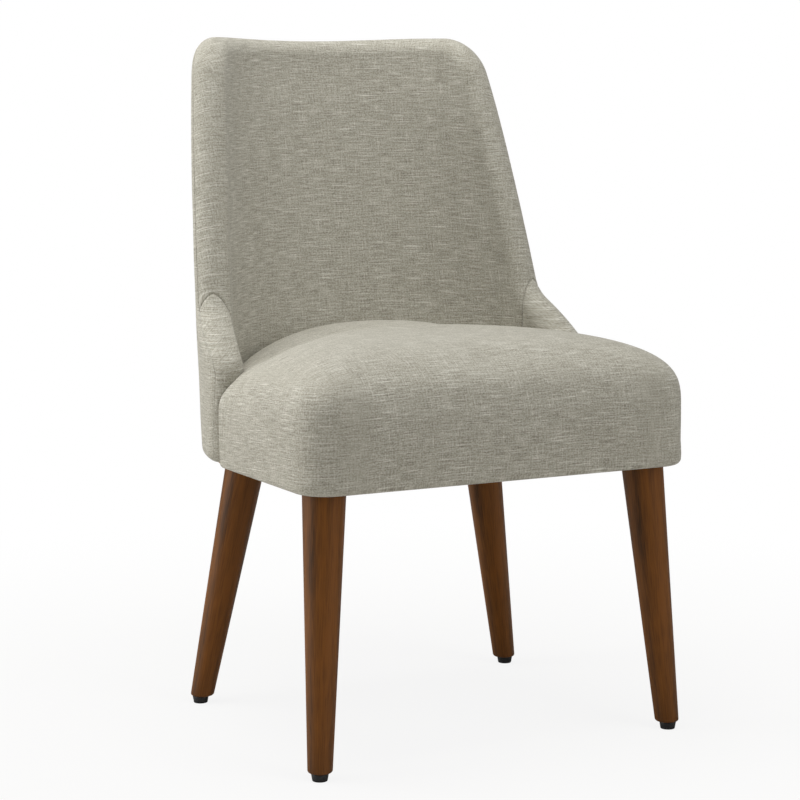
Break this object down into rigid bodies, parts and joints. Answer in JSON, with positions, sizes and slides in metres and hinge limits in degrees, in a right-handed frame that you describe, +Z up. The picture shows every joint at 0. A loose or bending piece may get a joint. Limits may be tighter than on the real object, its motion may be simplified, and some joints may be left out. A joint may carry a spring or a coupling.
{
  "type": "dining chair",
  "caption": "Upholstered dining side chair with a barrel back whose wings sweep down to a domed box seat, on splayed turned wooden legs with levelling glides.",
  "frame": {"origin": "centre of the bounding box at floor level", "axes": "+Z up, -Y the way the chair faces, +X towards the sitter's left"},
  "size_m": [0.524, 0.548, 0.8319],
  "materials": {
    "linen": "matt slubbed linen-look weave, warm grey",
    "foam": "soft polyurethane foam",
    "plywood": "unfinished plywood",
    "hardwood": "unfinished hardwood",
    "stained_wood": "walnut stain under satin lacquer",
    "steel": "zinc plated",
    "brass": "plain",
    "nylon": "black moulded",
    "non_woven": "thin black non-woven cloth"
  },
  "bodies": {
    "chair": {"seat_cover": "linen", "seat_foam": "foam", "seat_deck": "plywood", "front_rail": "hardwood", "side_rail_left": "hardwood", "side_rail_right": "hardwood", "rear_rail": "hardwood", "quarter_rail_left": "hardwood", "quarter_rail_right": "hardwood", "corner_block_front_left": "hardwood", "corner_block_rear_left": "hardwood", "corner_block_front_right": "hardwood", "corner_block_rear_right": "hardwood", "back_panel": "plywood", "back_foam": "foam", "inside_back_cover": "linen", "outside_back_cover": "linen", "back_bolt_rear_left": "steel", "back_insert_rear_left": "steel", "back_bolt_rear_right": "steel", "back_insert_rear_right": "steel", "back_bolt_wing_left": "steel", "back_insert_wing_left": "steel", "back_bolt_wing_right": "steel", "back_insert_wing_right": "steel", "dust_cover": "non_woven", "leg_front_left": "stained_wood", "foot_insert_front_left": "brass", "hanger_bolt_front_left": "steel", "leg_nut_front_left": "steel", "leg_front_right": "stained_wood", "foot_insert_front_right": "brass", "hanger_bolt_front_right": "steel", "leg_nut_front_right": "steel", "leg_rear_left": "stained_wood", "foot_insert_rear_left": "brass", "hanger_bolt_rear_left": "steel", "leg_nut_rear_left": "steel", "leg_rear_right": "stained_wood", "foot_insert_rear_right": "brass", "hanger_bolt_rear_right": "steel", "leg_nut_rear_right": "steel"},
    "glide_front_left": {"glide_base_front_left": "nylon", "glide_stud_front_left": "steel"},
    "glide_front_right": {"glide_base_front_right": "nylon", "glide_stud_front_right": "steel"},
    "glide_rear_left": {"glide_base_rear_left": "nylon", "glide_stud_rear_left": "steel"},
    "glide_rear_right": {"glide_base_rear_right": "nylon", "glide_stud_rear_right": "steel"}
  },
  "joints": [
    {"name": "glide_front_left_screw", "type": "slide", "parent": "chair", "child": "glide_front_left", "axis": [0, 0, -1], "range_m": [0, 0.006]},
    {"name": "glide_front_right_screw", "type": "slide", "parent": "chair", "child": "glide_front_right", "axis": [0, 0, -1], "range_m": [0, 0.006]},
    {"name": "glide_rear_left_screw", "type": "slide", "parent": "chair", "child": "glide_rear_left", "axis": [0, 0, -1], "range_m": [0, 0.006]},
    {"name": "glide_rear_right_screw", "type": "slide", "parent": "chair", "child": "glide_rear_right", "axis": [0, 0, -1], "range_m": [0, 0.006]}
  ]
}
